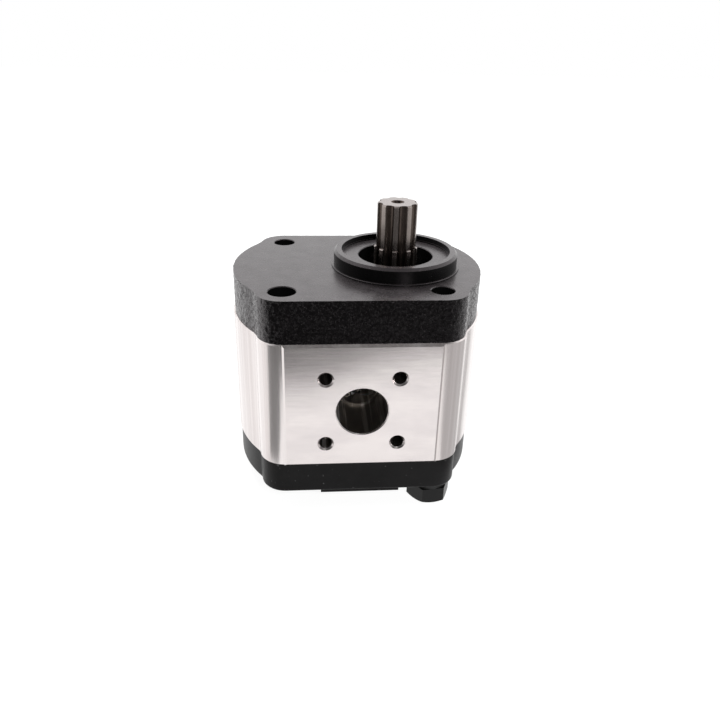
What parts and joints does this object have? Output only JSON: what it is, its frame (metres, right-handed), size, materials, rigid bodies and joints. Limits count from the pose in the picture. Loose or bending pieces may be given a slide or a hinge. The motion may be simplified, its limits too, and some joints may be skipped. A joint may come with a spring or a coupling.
{
  "type": "hydraulic gear pump",
  "caption": "External gear pump with an aluminium body, cast flange with centring pilot, splined drive shaft and side ports.",
  "frame": {"origin": "centre of the centring pilot on the mounting face of the front cover", "axes": "+Z out along the drive shaft, +X away from the driven gear, -Y out of the suction port"},
  "size_m": [0.101, 0.0822, 0.1182],
  "materials": {
    "cast_black": "black coated casting, machined front",
    "cover_black": "black satin",
    "extruded_aluminium": "extruded with milled faces",
    "ground_steel": "ground",
    "block_aluminium": "machined",
    "bush_bronze": "plain bearing",
    "seal_rubber": "moulded",
    "backup_plastic": "moulded",
    "spring_steel": "phosphated",
    "bolt_black": "black oxide"
  },
  "bodies": {
    "housing": {"front_cover": "cast_black", "pump_body": "extruded_aluminium", "rear_cover": "cover_black", "front_bearing_block": "block_aluminium", "rear_bearing_block": "block_aluminium", "front_drive_bush": "bush_bronze", "front_driven_bush": "bush_bronze", "rear_drive_bush": "bush_bronze", "rear_driven_bush": "bush_bronze", "front_axial_seal": "seal_rubber", "rear_axial_seal": "seal_rubber", "front_axial_backup": "backup_plastic", "rear_axial_backup": "backup_plastic", "front_body_seal": "seal_rubber", "rear_body_seal": "seal_rubber", "shaft_seal_case": "seal_rubber", "shaft_seal_lip": "seal_rubber", "shaft_seal_spring": "spring_steel", "seal_retaining_ring": "spring_steel", "assembly_bolts": "bolt_black", "assembly_washers": "bolt_black", "front_dowel_pins": "ground_steel", "rear_dowel_pins": "ground_steel"},
    "drive_shaft": {"drive_gear_shaft": "ground_steel"},
    "driven_shaft": {"driven_gear_shaft": "ground_steel"}
  },
  "joints": [
    {"name": "drive_shaft_spin", "type": "hinge", "parent": "housing", "child": "drive_shaft", "pos_m": [0, 0, 0], "axis": [0, 0, 1], "continuous": true},
    {"name": "driven_gear_spin", "type": "hinge", "parent": "housing", "child": "driven_shaft", "pos_m": [-0.031, 0, 0], "axis": [0, 0, 1], "continuous": true}
  ],
  "couplings": [
    {"joint": "driven_gear_spin", "follows": "drive_shaft_spin", "ratio": -1}
  ]
}
